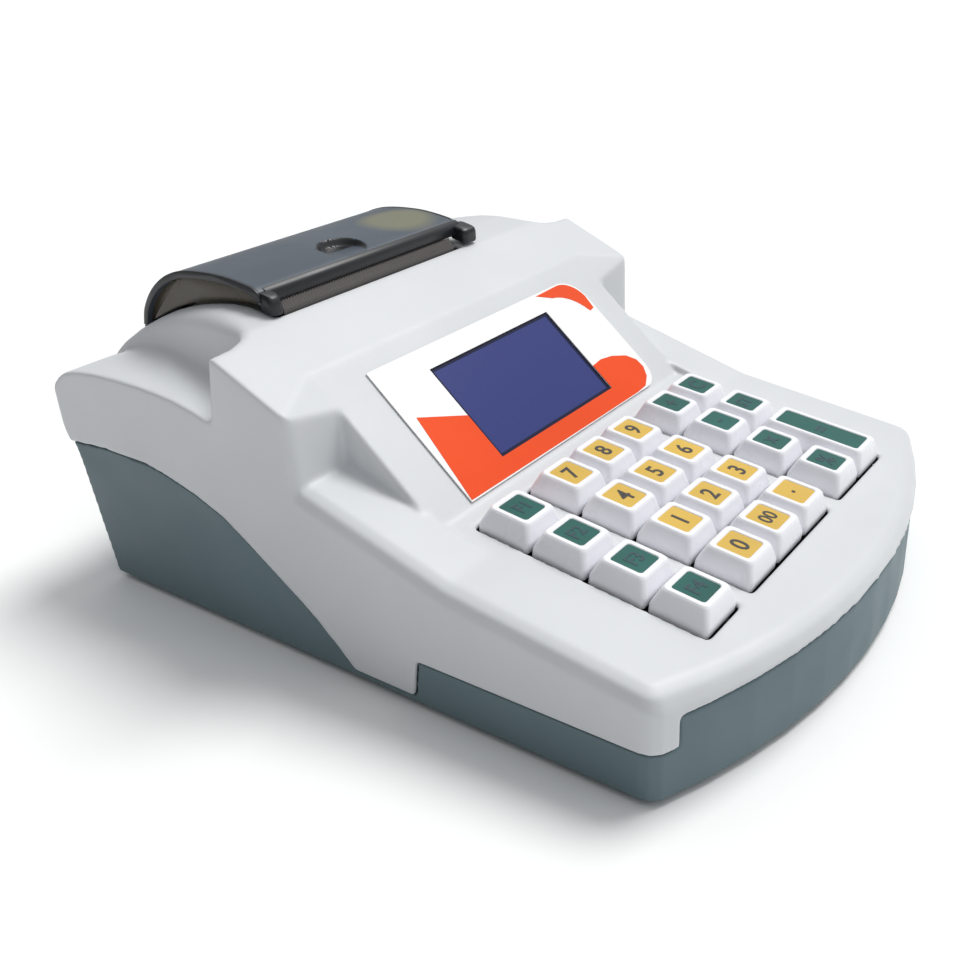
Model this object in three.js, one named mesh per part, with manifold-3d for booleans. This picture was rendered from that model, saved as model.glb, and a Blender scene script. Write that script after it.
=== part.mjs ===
// A desktop fare register with a receipt printer: a keyboard deck, a sloped display, and a paper bay
// under a smoked cover, in a light upper case on a dark lower case.
//
// Millimetres, +Z up, +Y towards the rear. Inside the body group x = 0 is the middle plane, y = 0 the
// line through the two front corners and z = 0 the underside of the lower case. The group is then moved
// so that the origin is the middle of the body's footprint, on the table that the feet stand on.

import * as THREE from "three";
import { mergeVertices } from "three/addons/utils/BufferGeometryUtils.js";
import Module from "manifold-3d";

const wasm = await Module();
wasm.setup();

// ---------------------------------------------------------------- driving dimensions
const WIDTH = 190;
const HALF = WIDTH / 2;
const FRONT_BULGE = 22.3; // how far the bowed front stands ahead of the front corners
const REAR_Y = 223.6; // foot of the rear wall
const REAR_LEAN = 0.165; // how far the rear wall leans back per unit of height
const OVERHANG_Y = 238; // rearmost point of the upper case
const FOOT_DROP = 2; // the feet stand this far below the lower case
const MIDDLE_Y = (OVERHANG_Y - FRONT_BULGE) / 2;
const UPPER_WALL = 2.5;
const LOWER_WALL = 2.4;
const REVEAL = 0.8; // the lower case's walls sit this far inside the upper case's
const GAP = 0.3; // between parts that touch

const DECK_TILT = THREE.MathUtils.degToRad(9);
const DECK_Z = 33.5; // deck height at y = 0
const DECK_EDGE = 5; // rounding of the deck's rim
const POCKET_TILT = THREE.MathUtils.degToRad(17.5);
const POCKET_Z = 23.4; // height of the side pockets' floors, carried on to y = 0
const POCKET_TOP = 60.4;
const PANEL_TILT = THREE.MathUtils.degToRad(41.9);
const PANEL_Y = 88.7; // a point of the display panel: the lower edge of the window
const PANEL_Z = 52.3;
const HUMP_HALF = 74; // half width of the display hump
const SHOULDER_Y = 117.3; // front wall of the full-width rear body
const RIDGE = [128, 87.5]; // crease between the display panel and the top
const TOP_RISE = 0.477; // slope of the top behind the crease
const BAY_FRONT_Y = 152; // where the top ends at the printer cover

const PITCH = 19.05; // key pitch
const GROUP_GAP = 7.4; // extra space between the key groups
const KEY_TOP = 7; // key tops above the deck
const KEY_TRAVEL = 3;
const FRONT_ROW_V = 10.4; // the front row's centre, measured up the deck

const COVER_X = [-65, 35]; // the printer cover, offset to the left
const BAY_X = [-62, 32]; // the paper bay's clear width
const ROLL = { y: 189, z: 70, r: 27, coreOuter: 8.5, coreInner: 6 };
const PAPER_X = [-54.75, 24.75];
const PLATEN = { y: 159.4, z: 90, r: 6, shaft: 2.5 };
const HINGE = { y: 221.5, z: 84.5, r: 1.6 };
const HINGE_LUGS = [[-50, -44], [18, 24]];

// ---------------------------------------------------------------- solids
// A closed three.js geometry as a manifold-3d solid.
function solid(geometry, matrix = new THREE.Matrix4()) {
  const bare = geometry.index ? geometry.toNonIndexed() : geometry.clone();
  for (const name of Object.keys(bare.attributes)) {
    if (name !== "position") bare.deleteAttribute(name);
  }
  const merged = mergeVertices(bare, 1e-4).applyMatrix4(matrix);
  const mesh = new wasm.Mesh({
    numProp: 3,
    vertProperties: merged.attributes.position.array,
    triVerts: new Uint32Array(merged.index.array),
  });
  return new wasm.Manifold(mesh);
}

// A manifold-3d solid as a three.js geometry, flat shaded.
function geometryOf(shape) {
  const { numProp, vertProperties, triVerts } = shape.getMesh();
  const position = new Float32Array((vertProperties.length / numProp) * 3);
  for (let i = 0; i < position.length / 3; i++) {
    position.set(vertProperties.subarray(i * numProp, i * numProp + 3), i * 3);
  }
  const indexed = new THREE.BufferGeometry();
  indexed.setAttribute("position", new THREE.BufferAttribute(position, 3));
  indexed.setIndex(new THREE.BufferAttribute(triVerts, 1));
  const flat = indexed.toNonIndexed();
  flat.computeVertexNormals();
  return flat;
}

const join = (shapes) => shapes.reduce((a, b) => a.add(b));
const cut = (shape, ...tools) => tools.reduce((a, b) => a.subtract(b), shape);

function box(x0, x1, y0, y1, z0, z1) {
  const centre = new THREE.Matrix4().makeTranslation((x0 + x1) / 2, (y0 + y1) / 2, (z0 + z1) / 2);
  return solid(new THREE.BoxGeometry(x1 - x0, y1 - y0, z1 - z0), centre);
}

function shapeOf(points) {
  return new THREE.Shape(points.map(([a, b]) => new THREE.Vector2(a, b)));
}

// A (y, z) outline swept along X from x0 to x1.
function alongX(points, x0, x1) {
  const swept = new THREE.ExtrudeGeometry(shapeOf(points), { depth: x1 - x0, bevelEnabled: false });
  const turn = new THREE.Matrix4().makeBasis(
    new THREE.Vector3(0, 1, 0),
    new THREE.Vector3(0, 0, 1),
    new THREE.Vector3(1, 0, 0),
  );
  return solid(swept, turn.setPosition(x0, 0, 0));
}

// An (x, y) outline raised from z0 to z1.
function alongZ(points, z0, z1) {
  const swept = new THREE.ExtrudeGeometry(shapeOf(points), { depth: z1 - z0, bevelEnabled: false });
  return solid(swept, new THREE.Matrix4().makeTranslation(0, 0, z0));
}

// A round bar of radius r from `from` to `to` along the named axis.
function rod(axis, r, from, to, [a, b], sides = 16) {
  const matrix = new THREE.Matrix4();
  const middle = (from + to) / 2;
  if (axis === "x") matrix.makeRotationZ(Math.PI / 2).setPosition(middle, a, b);
  if (axis === "y") matrix.setPosition(a, middle, b);
  if (axis === "z") matrix.makeRotationX(Math.PI / 2).setPosition(a, b, middle);
  return solid(new THREE.CylinderGeometry(r, r, to - from, sides), matrix);
}

const circle = (cy, cz, r, from, to, steps) =>
  Array.from({ length: steps + 1 }, (_, i) => {
    const angle = from + ((to - from) * i) / steps;
    return [cy + r * Math.cos(angle), cz + r * Math.sin(angle)];
  });

// Points along a smooth curve through the given ones.
function smooth(points, steps) {
  const curve = new THREE.SplineCurve(points.map(([a, b]) => new THREE.Vector2(a, b)));
  return curve.getPoints(steps).map((p) => [p.x, p.y]);
}

// ---------------------------------------------------------------- scene graph
const body = new THREE.Group();
body.position.set(0, -MIDDLE_Y, FOOT_DROP);

// Frames whose local axes are (x, up the slope, out of the surface).
const deck = new THREE.Group();
deck.position.set(0, 0, DECK_Z);
deck.rotation.x = DECK_TILT;
const panel = new THREE.Group();
panel.position.set(0, PANEL_Y, PANEL_Z);
panel.rotation.x = PANEL_TILT;
body.add(deck, panel);

const plastic = (color, roughness = 0.55) =>
  new THREE.MeshStandardMaterial({ color, roughness, metalness: 0 });
const metal = (color, roughness = 0.35) =>
  new THREE.MeshStandardMaterial({ color, roughness, metalness: 1 });

const LIGHT_GREY = plastic(0xd3d5dc);
const DARK_TEAL = plastic(0x4d636c);
const SMOKE = plastic(0x3b3f4a, 0.2);
const KEY_WHITE = plastic(0xefeef3, 0.35);
const GLASS_BLUE = plastic(0x3c4588, 0.15);
const LABEL = plastic(0xf2572b, 0.4);
const BOARD = plastic(0x1f5d3a, 0.6);
const BLACK = plastic(0x202225, 0.7);
const PAPER = plastic(0xf4f3ee, 0.9);
const CARD = plastic(0xb49a76, 0.9);
const GEAR = plastic(0xe9e6da, 0.5);
const LEVER_GREEN = plastic(0x3f8f6b, 0.5);
const BATTERY = plastic(0x2e4a8c, 0.5);
const STEEL = metal(0xb9bdc2);

function place(name, shape, material, parent = body) {
  const mesh = new THREE.Mesh(geometryOf(shape), material);
  mesh.name = name;
  parent.add(mesh);
}

// The two slopes' axes, (x, up the slope, out of the surface), as matrices.
function slope(y, z, tilt) {
  return new THREE.Matrix4().makeTranslation(0, y, z).multiply(new THREE.Matrix4().makeRotationX(tilt));
}
const onDeck = slope(0, DECK_Z, DECK_TILT);
const onPanel = slope(PANEL_Y, PANEL_Z, PANEL_TILT);

// A box given in a slope's own axes.
function boxOn(matrix, x0, x1, v0, v1, n0, n1) {
  const centre = new THREE.Matrix4().makeTranslation((x0 + x1) / 2, (v0 + v1) / 2, (n0 + n1) / 2);
  return solid(new THREE.BoxGeometry(x1 - x0, v1 - v0, n1 - n0), matrix.clone().multiply(centre));
}

// ---------------------------------------------------------------- the case form
// The footprint: straight sides, a bowed front and rounded corners, `inset` inside the outer wall.
function footprint(inset, rearY, rearCorner = 4) {
  const half = HALF - inset;
  const frontRadius = (HALF ** 2 + FRONT_BULGE ** 2) / (2 * FRONT_BULGE);
  const bow = frontRadius - inset;
  const bowY = frontRadius - FRONT_BULGE;
  const cornerAngle = Math.asin(half / bow);
  const rear = rearY - inset;
  const frontCorner = 0.03; // share of the bow, at each end, that the front corner's rounding takes
  const bowPoint = (share) => {
    const angle = cornerAngle * share;
    return [bow * Math.sin(angle), bowY - bow * Math.cos(angle)];
  };
  const corner = bowPoint(1)[1];
  const points = [];
  points.push([-half, corner + 4], [-half + 0.6, corner + 1.2]);
  for (let i = -6; i <= 6; i++) points.push(bowPoint((i / 6) * (1 - frontCorner)));
  points.push([half - 0.6, corner + 1.2], [half, corner + 4]);
  const turn = (cx, from) =>
    circle(cx, rear - rearCorner, rearCorner, from, from + Math.PI / 2, 4);
  points.push(...turn(half - rearCorner, 0), ...turn(-half + rearCorner, Math.PI / 2));
  return points;
}

// The footprint under a plane that rises from z0 at y = 0, with a rounded rim.
function slopedSlab(inset, tilt, z0) {
  const rim = {
    depth: 90,
    bevelThickness: DECK_EDGE,
    bevelSize: DECK_EDGE,
    bevelOffset: -DECK_EDGE,
    bevelSegments: 2,
  };
  const slab = new THREE.ExtrudeGeometry(shapeOf(footprint(inset, SHOULDER_Y + 15, 10)), rim);
  const shear = new THREE.Matrix4().makeShear(0, 0, 0, Math.tan(tilt), 0, 0);
  return solid(slab, shear.setPosition(0, 0, z0 - inset - rim.depth - DECK_EDGE));
}

// The side pockets' floors, steeper than the deck, rise to the front wall of the full-width body.
function pocketFloors(inset) {
  const slab = slopedSlab(inset, POCKET_TILT, POCKET_Z);
  const level = box(-120, 120, -60, 200, -60, POCKET_TOP - inset);
  return cut(slab.intersect(level), box(-HUMP_HALF + 2, HUMP_HALF - 2, -60, 200, -60, 130));
}

// The full-width rear body and its arched top, seen from the side, with the rear overhang.
const onTop = (y) => RIDGE[1] + TOP_RISE * (y - RIDGE[0]);
const onRearWall = (z) => REAR_Y + REAR_LEAN * z;
const ARCH = smooth([[150, 98], [166, 100.4], [184, 98.5], [200, 94.2], [216, 87], [227, 80]], 12);
function rearProfile(inset) {
  const drop = inset / Math.cos(Math.atan(TOP_RISE));
  const rear = [
    [230.8, 77.2], [234.4, 73.8], [236.9, 70], [OVERHANG_Y, 65.5], [237.3, 59.5], [235.2, 53.6],
    [232.2, 48.8], [onRearWall(44.5), 44.5], [onRearWall(-30), -30],
  ];
  return [
    [SHOULDER_Y + inset, -30],
    [SHOULDER_Y + inset, onTop(SHOULDER_Y + inset) - drop],
    ...ARCH.map(([y, z]) => [y, z - inset * 1.05]),
    ...rear.map(([y, z]) => [y - inset, z - inset * 0.2]),
  ].reverse();
}

// The full-width body from above, with rounded front corners.
function rearPlan(inset) {
  const half = HALF - inset;
  const front = SHOULDER_Y + inset;
  const r = 3;
  return [
    ...circle(-half + r, front + r, r, Math.PI, 1.5 * Math.PI, 4),
    ...circle(half - r, front + r, r, 1.5 * Math.PI, 2 * Math.PI, 4),
    [half, 250],
    [-half, 250],
  ];
}

function humpProfile(inset) {
  const slope = Math.tan(PANEL_TILT);
  const drop = inset / Math.cos(PANEL_TILT);
  const onPanel = (y) => PANEL_Z + slope * (y - PANEL_Y) - drop;
  return [
    [60, onPanel(60)],
    [150, onPanel(60)],
    [150, onTop(150) - inset],
    [RIDGE[0], RIDGE[1] - drop],
  ];
}

// A point's height on a profile given as (y, z) points.
function heightOn(profile, y) {
  const after = profile.findIndex((point) => point[0] > y);
  if (after < 1) return profile[after === 0 ? 0 : profile.length - 1][1];
  const [[ya, za], [yb, zb]] = [profile[after - 1], profile[after]];
  return za + ((zb - za) * (y - ya)) / (yb - ya);
}
const topHeight = (y) => (y < ARCH[0][0] ? onTop(y) : heightOn(ARCH, y));

// The scooped shoulder beside the printer: a shelf along the side, and a wall that rises from it through a
// cove and rolls over into the top.
const SHELF = smooth(
  [[148, 72.4], [151.2, 74.2], [164.5, 77.9], [178.6, 79.7], [197, 80.4], [210, 80], [221, 78.8],
    [229, 76.4], [236, 71], [247, 60]], 16,
);
// Along the wall's foot: [x, y, lean, radius at the top, radius at the foot].
const WALL = [
  [104, 150.6, 3.5, 2, 2.5], [94, 150.8, 3.5, 2, 2.5], [86, 151, 3.2, 2, 2.5], [81.5, 152, 2.6, 2.5, 2.5],
  [79.2, 154.6, 1.8, 3.5, 3], [78.2, 159, 1.2, 5, 4.5], [77.4, 165, 1, 6, 6], [76, 173, 0.8, 6, 6],
  [74, 184, 0.8, 6, 6], [72.3, 195, 0.6, 6, 6], [71, 206, 0.5, 4.8, 4.8], [70.3, 216, 0.3, 3, 3],
  [70, 224, 0.1, 1.2, 1.2], [70, 247, 0.1, 0.6, 0.6],
];
const QUARTER = [22.5, 45, 67.5].map((angle) => THREE.MathUtils.degToRad(angle));

// A solid through equal rings of points, from the first ring to the last.
function loft(rings) {
  const n = rings[0].length;
  const [[x0, y0]] = rings[0];
  const flat = rings[0].map(([x, y, z]) => new THREE.Vector2(Math.hypot(x - x0, y - y0), z));
  const caps = THREE.ShapeUtils.triangulateShape(flat, []);
  const faces = caps.map(([a, b, c]) => [a, c, b]);
  for (let k = 0; k + 1 < rings.length; k++) {
    for (let i = 0; i < n; i++) {
      const [a, b] = [k * n + i, k * n + ((i + 1) % n)];
      faces.push([a, b, b + n], [a, b + n, a + n]);
    }
  }
  const last = (rings.length - 1) * n;
  for (const [a, b, c] of caps) faces.push([last + a, last + b, last + c]);
  const geometry = new THREE.BufferGeometry();
  geometry.setAttribute("position", new THREE.Float32BufferAttribute(rings.flat(2), 3));
  return solid(geometry.setIndex(faces.flat()));
}

function shoulderCut(side, grow) {
  const normals = WALL.map((_, k) => {
    const [xa, ya] = WALL[Math.max(k - 1, 0)];
    const [xb, yb] = WALL[Math.min(k + 1, WALL.length - 1)];
    const length = Math.hypot(xb - xa, yb - ya);
    return [(ya - yb) / length, (xb - xa) / length];
  });
  const reach = 1.2;
  const outer = [];
  const rings = WALL.map(([x, y, lean, top, foot], k) => {
    const [nx, ny] = normals[k];
    const at = (inward) => [x + nx * inward, y + ny * inward];
    const onShelf = (inward, up) => [...at(inward), heightOn(SHELF, at(inward)[1]) - grow + up];
    const underTop = (inward, down) => [...at(inward), topHeight(at(inward)[1]) - grow * 1.05 - down];
    const cove = foot + grow;
    const over = Math.max(top - grow, 0.3);
    const roll = lean + grow + over;
    outer.push(at(-foot - reach * 0.5));
    return [
      [...at(-foot - reach), 130],
      onShelf(-foot - reach, 0),
      onShelf(-foot, 0),
      ...QUARTER.map((a) => onShelf(-foot + cove * Math.sin(a), cove * (1 - Math.cos(a)))),
      onShelf(grow, cove),
      ...[0, ...QUARTER].map((a) => underTop(roll - over * Math.cos(a), over * (1 - Math.sin(a)))),
      underTop(roll, -0.05),
      [...at(roll), 130],
    ];
  });
  const wall = loft(rings);
  const above = alongX([[140, 130], ...SHELF.map(([y, z]) => [y, z - grow]), [247, 130]], -120, 120);
  const plan = alongZ([...outer.reverse(), [112, outer[outer.length - 1][1]], [112, 246]].reverse(), 50, 130);
  const cutter = wall.add(above.intersect(plan));
  return side > 0 ? cutter : cutter.mirror([1, 0, 0]);
}

// Beside the display the crease runs forward to the outer edge, so a twisted facet joins panel and top.
function cheekCut(side, inset) {
  const corner = SHOULDER_Y + 0.9;
  const panelZ = PANEL_Z + Math.tan(PANEL_TILT) * (corner - PANEL_Y);
  const acrossX = (onTop(corner) - panelZ) / (HALF - HUMP_HALF);
  const alongY = (RIDGE[1] - panelZ) / (RIDGE[0] - corner);
  const facet = (x, y) => panelZ + acrossX * (x - HUMP_HALF) + alongY * (y - corner) - inset * 1.3;
  const points = [[HUMP_HALF - inset, 105], [100, 105], [100, 140], [HUMP_HALF - inset, 140]];
  const low = points.map(([x, y]) => [side * x, y, facet(x, y)]);
  return wasm.Manifold.hull([...low, ...points.map(([x, y]) => [side * x, y, 140])]);
}

function caseForm(inset) {
  const half = HUMP_HALF - inset;
  const hump = alongX(humpProfile(inset), -half, half);
  const fullRear = alongX(rearProfile(inset), -HALF + inset, HALF - inset);
  const abovePanel = boxOn(onPanel, -HUMP_HALF - inset, HUMP_HALF + inset, 0, 60, -inset, 60);
  const rear = cut(fullRear, abovePanel.intersect(box(-120, 120, 0, RIDGE[0], 0, 130)));
  const rounded = rear.intersect(alongZ(rearPlan(inset), -40, 130));
  const deckSlab = slopedSlab(inset, DECK_TILT, DECK_Z);
  const whole = join([deckSlab, pocketFloors(inset), hump, rounded]);
  const prism = alongZ(footprint(inset, OVERHANG_Y), -20, 130);
  const cutters = [1, -1].flatMap((side) => [shoulderCut(side, inset), cheekCut(side, inset)]);
  return cut(whole.intersect(prism), ...cutters, box(-120, 120, -60, 260, -200, 0));
}

// ---------------------------------------------------------------- upper and lower case
// The parting line at the side: high at the rear, down to the floor ahead of the middle, then a low strip.
const LEG_Z = 2.5;
const STRIP_Z = 15.3;
const FASCIA_Z = 25; // the lower case's top edge across the bowed front
const FASCIA_HALF = 86.5;
const SPLIT = [
  ...smooth([[103, LEG_Z], [114.4, 13.5], [123, 20.3], [139, 31.2], [154, 41.2], [173, 48], [190, 51.5]], 9),
  [213, 52],
  [232, 50.6],
  [250, 50.6],
];

function belowSplit(gap) {
  const side = [
    [-60, -40],
    [260, -40],
    ...[...SPLIT, [260, SPLIT[SPLIT.length - 1][1]]].reverse().map(([y, z]) => [y, z - gap]),
    [79 - gap, LEG_Z - gap],
    [77 - gap, STRIP_Z - gap],
    [-60, STRIP_Z - gap],
  ];
  const low = alongX(side, -HALF - 5, HALF + 5);
  const fascia = box(-FASCIA_HALF + gap, FASCIA_HALF - gap, -60, 1, -40, FASCIA_Z - gap);
  return low.add(fascia);
}

const SCREWS = [[-80, 22], [80, 22], [-86, 206], [86, 206]];
const FEET = [[-72, 8], [72, 8], [-68, 210], [68, 210]];
const keyColumns = [0, 1, 2, 3, 4, 5].map(
  (c) => (c - 2.5) * PITCH + (c > 0 ? GROUP_GAP : 0) + (c > 3 ? GROUP_GAP : 0) - GROUP_GAP,
);
const rowV = (r) => FRONT_ROW_V + (3 - r) * PITCH;
const KEY_GROUPS = [[0, 0], [1, 3], [4, 5]];
const KEY_BASE = 18; // cap size at the foot
const WINDOW = { half: 33.5, v: [0, 36.9] };

function upperCase() {
  const holes = KEY_GROUPS.map(([first, last]) => {
    const reach = KEY_BASE / 2 + 0.7;
    return boxOn(onDeck, keyColumns[first] - reach, keyColumns[last] + reach,
      rowV(3) - reach, rowV(0) + reach, -12, 20);
  });
  const windowHole = boxOn(onPanel, -WINDOW.half - 1, WINDOW.half + 1,
    WINDOW.v[0] - 1, WINDOW.v[1] + 1, -15, 10);
  const bay = box(...BAY_X, BAY_FRONT_Y, 218, 60, 130);
  const hingeNotches = HINGE_LUGS.map(([x0, x1]) => box(x0 - 5.2, x1 + 0.8, 215, 226, 78, 130));
  const shell = cut(caseForm(0), caseForm(UPPER_WALL), ...holes, windowHole, bay, ...hingeNotches, belowSplit(0));
  const posts = join(SCREWS.map((at) => rod("z", 4, 8, 100, at, 12))).intersect(caseForm(1));
  const pilots = SCREWS.map((at) => rod("z", 1.6, 7, 20, at, 10));
  return cut(shell.add(posts), ...pilots);
}

const BATTERY_X = [40, 88];
const BATTERY_Y = [118, 198];
const PORTS = { jack: { x: 46, z: 19 }, data: { x: 62, z: 19 }, rocker: { x: 80, z: 22 } };

function lowerCase() {
  const inner = caseForm(REVEAL + LOWER_WALL).intersect(box(-120, 120, -60, 260, LEG_Z, 130));
  const walls = cut(caseForm(REVEAL), inner).intersect(belowSplit(GAP));
  const floor = alongZ(footprint(REVEAL, REAR_Y), 0, LEG_Z);
  const bosses = SCREWS.map(([x, y]) => rod("z", 4.5, 1, 7.6, [x, y], 12));
  const bores = SCREWS.map(([x, y]) => rod("z", 1.9, -1, 9, [x, y], 10));
  const sinks = SCREWS.map(([x, y]) => rod("z", 3.5, -1, 2.2, [x, y], 12));
  const feet = FEET.map(([x, y]) => rod("z", 7.3, -1, 0.8, [x, y], 16));
  const door = box(...BATTERY_X, ...BATTERY_Y, -1, 5);
  const { jack, data, rocker } = PORTS;
  const openings = [
    rod("y", 4.6, 216, 236, [jack.x, jack.z], 16),
    box(data.x - 7, data.x + 7, 216, 236, data.z - 6, data.z + 6),
    box(rocker.x - 6.5, rocker.x + 6.5, 216, 236, rocker.z - 10.5, rocker.z + 10.5),
  ];
  for (let i = 0; i < 9; i++) openings.push(box(-62 + i * 6, -59 + i * 6, 40, 80, -1, 5));
  return cut(join([walls, floor, ...bosses]), ...bores, ...sinks, ...feet, door, ...openings);
}

place("upper_case", upperCase(), LIGHT_GREY);
place("lower_case", lowerCase(), DARK_TEAL);

const cornerName = ([x, y]) => `${y < 100 ? "front" : "rear"}_${x < 0 ? "left" : "right"}`;
for (const at of FEET) {
  place(`foot_${cornerName(at)}`, rod("z", 7, -FOOT_DROP, 0.5, at, 20), BLACK);
}
for (const at of SCREWS) {
  const head = rod("z", 3, 0.4, 1.9, at, 12);
  const recess = box(at[0] - 1.6, at[0] + 1.6, at[1] - 0.4, at[1] + 0.4, 0, 1);
  const cross = box(at[0] - 0.4, at[0] + 0.4, at[1] - 1.6, at[1] + 1.6, 0, 1);
  place(`case_screw_${cornerName(at)}`, cut(head.add(rod("z", 1.3, 1.5, 17, at, 10)), recess, cross), STEEL);
}

// ---------------------------------------------------------------- keyboard
const GUIDE_N = [-7, -5]; // the guide frame, below the deck
const STEM_HALF = 3;
const STEM_END = -10;
const KEY_FOOT = -1.5;
const DOME_TOP = STEM_END - KEY_TRAVEL - GAP;

// A key: a hollow cap that narrows towards its top, on a square stem.
function keyShape(length) {
  const ring = (half, halfLength, n) => [
    [-half, -halfLength, n], [half, -halfLength, n], [half, halfLength, n], [-half, halfLength, n],
  ];
  const levels = (steps) => {
    const points = steps.flatMap(([half, n]) => ring(half, half + (length - KEY_BASE) / 2, n));
    const faces = [[0, 2, 1], [0, 3, 2]];
    for (let level = 0; level + 1 < steps.length; level++) {
      for (let i = 0; i < 4; i++) {
        const a = level * 4 + i;
        const b = level * 4 + ((i + 1) % 4);
        faces.push([a, b, b + 4], [a, b + 4, a + 4]);
      }
    }
    const t = (steps.length - 1) * 4;
    faces.push([t, t + 1, t + 2], [t, t + 2, t + 3]);
    const geometry = new THREE.BufferGeometry();
    geometry.setAttribute("position", new THREE.Float32BufferAttribute(points.flat(), 3));
    return solid(geometry.setIndex(faces.flat()));
  };
  const cap = levels([[9, KEY_FOOT], [9, 1.5], [7, KEY_TOP]]);
  const hollow = levels([[7.8, KEY_FOOT - 1], [7.8, 1], [6, KEY_TOP - 1.6]]);
  const stem = box(-STEM_HALF, STEM_HALF, -STEM_HALF, STEM_HALF, STEM_END, KEY_TOP - 1);
  return cut(cap, hollow).add(stem);
}

const single = keyShape(KEY_BASE);
const KEYS = [
  ["f1", 0, 0], ["f2", 0, 1], ["f3", 0, 2], ["f4", 0, 3],
  ["7", 1, 0], ["4", 1, 1], ["1", 1, 2], ["0", 1, 3],
  ["8", 2, 0], ["5", 2, 1], ["2", 2, 2], ["00", 2, 3],
  ["9", 3, 0], ["6", 3, 1], ["3", 3, 2], ["point", 3, 3],
  ["plus", 4, 0], ["minus", 4, 1], ["multiply", 4, 2], ["percent", 4, 3],
  ["clear", 5, 0], ["subtotal", 5, 1],
];
const TOTAL_ROW = 2.5; // the long key spans the two front rows

function placeKey(name, shape, column, row) {
  const spot = new THREE.Group();
  spot.position.set(keyColumns[column], rowV(row), 0);
  deck.add(spot);
  place(`key_${name}`, shape, KEY_WHITE, spot);
}
for (const [name, column, row] of KEYS) placeKey(name, single, column, row);
placeKey("total", keyShape(KEY_BASE + PITCH), 5, TOTAL_ROW);

const KEY_SPOTS = [...KEYS.map(([, c, r]) => [keyColumns[c], rowV(r)]), [keyColumns[5], rowV(TOTAL_ROW)]];
const BOARD_X = [-66, 66];
const BOARD_V = [-2, 79];
const guideHole = STEM_HALF + 0.4;
place("key_guide_frame", cut(
  box(...BOARD_X, ...BOARD_V, ...GUIDE_N),
  ...KEY_SPOTS.map(([x, v]) => box(x - guideHole, x + guideHole, v - guideHole, v + guideHole, -9, 0)),
), BLACK, deck);
place("key_mat", join([
  box(...BOARD_X, ...BOARD_V, -16, -15),
  ...KEY_SPOTS.map(([x, v]) => rod("z", 3.5, -15.2, DOME_TOP, [x, v], 8)),
]), plastic(0xbfc4c8, 0.7), deck);
place("keyboard_board", box(...BOARD_X, ...BOARD_V, -17.9, -16.3), BOARD, deck);

// ---------------------------------------------------------------- display
const LABEL_EDGE = { left: -56.3, right: 59, low: -6.8, high: 44.8 };
// The label's outline: square on the left, rounded on the right.
function labelOutline() {
  const { left, right, low, high } = LABEL_EDGE;
  const lower = circle(right - 8, low + 8, 8, -Math.PI / 2, 0, 4);
  const upper = circle(right - 10, high - 10, 10, 0, Math.PI / 2, 5);
  return [[left, low], ...lower, ...upper, [left, high]];
}
const windowBox = (grow, n0, n1) =>
  box(-WINDOW.half - grow, WINDOW.half + grow, WINDOW.v[0] - grow, WINDOW.v[1] + grow, n0, n1);
place("display_label", cut(alongZ(labelOutline(), GAP, 0.8), windowBox(0, -1, 2)), LABEL, panel);
place("display_window", windowBox(0.6, -1.6, 0), GLASS_BLUE, panel);
place("lcd_module", windowBox(5, -10, -2.9), STEEL, panel);

// ---------------------------------------------------------------- printer
const TUB_WALL = 2;
function paperTub() {
  const trough = (r, low) => [
    ...circle(ROLL.y, ROLL.z, r, Math.PI, 2 * Math.PI, 14),
    [ROLL.y + r, 79],
    [ROLL.y - r, low],
  ];
  const outer = alongX(trough(31.5, 79), BAY_X[0] - TUB_WALL, BAY_X[1] + TUB_WALL);
  const inner = alongX(trough(29.5, 95), ...BAY_X).add(box(...BAY_X, ROLL.y - 29.5, ROLL.y + 29.5, ROLL.z, 95));
  const passage = box(PAPER_X[0] - 2, PAPER_X[1] + 2, 155, 170, 76, 95);
  const ears = HINGE_LUGS.map(([x0]) => alongX(
    [[217, 76], [220, 76], ...circle(HINGE.y, HINGE.z, 2.8, -0.6, Math.PI, 8)], x0 - 4.4, x0 - GAP,
  ));
  const bores = HINGE_LUGS.map(([x0]) => rod("x", HINGE.r + GAP, x0 - 6, x0, [HINGE.y, HINGE.z], 12));
  return cut(join([cut(outer, inner, passage), ...ears]), ...bores);
}

// The cover seen from the side: a long low arch that falls steeply to the hinge at the rear. Its front lip
// stands back behind the tear bar, between a thick corner on the left and the opening tab on the right.
const COVER_ARCH = [
  [155.2, 104.4], [156.6, 106.6], [161, 108], [174, 109.6], [190, 109.2], [201, 106.5],
  [210, 101], [216.5, 93.5], [218.6, 87],
];
function coverShape() {
  const outer = smooth(COVER_ARCH, 22);
  const seat = smooth([[155.2, 101.6], [166, 101.5], [184, 99.4], [200, 95], [212, 89.8], [218.6, 86]], 8);
  const wall = 2.2;
  const shellOutline = [...outer, ...seat.slice().reverse()];
  const inside = outer.map(([y, z]) => [
    ROLL.y + (y - ROLL.y) * 0.945,
    z - wall * (z > 106 ? 1 : 1.1),
  ]);
  const hollow = alongX([...inside, [211, 60], [157.4, 60]].reverse(), COVER_X[0] + wall, COVER_X[1] - wall);
  const shell = cut(alongX(shellOutline.reverse(), ...COVER_X), hollow);
  const lugs = HINGE_LUGS.map(([x0, x1]) => alongX(
    [[214.5, 93], [214.5, 90], [218.5, 82.4], [222.5, 82.4], [223.6, 84.5], [222, 87], [217.6, 90]].reverse(),
    x0, x1,
  ));
  const pins = HINGE_LUGS.map(([x0]) => rod("x", HINGE.r, x0 - 4.2, x0 + 1, [HINGE.y, HINGE.z], 12));
  const corner = box(COVER_X[0], -58.9, 149.8, 157, 99.9, 105.2);
  const tab = box(COVER_X[1] - 2, COVER_X[1] + 9, 150, 157, 100.6, 105.2);
  const grip = rod("z", 6, 107, 112, [-13, 169], 16);
  return cut(join([shell, ...lugs, ...pins, corner, tab]), grip);
}

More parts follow.
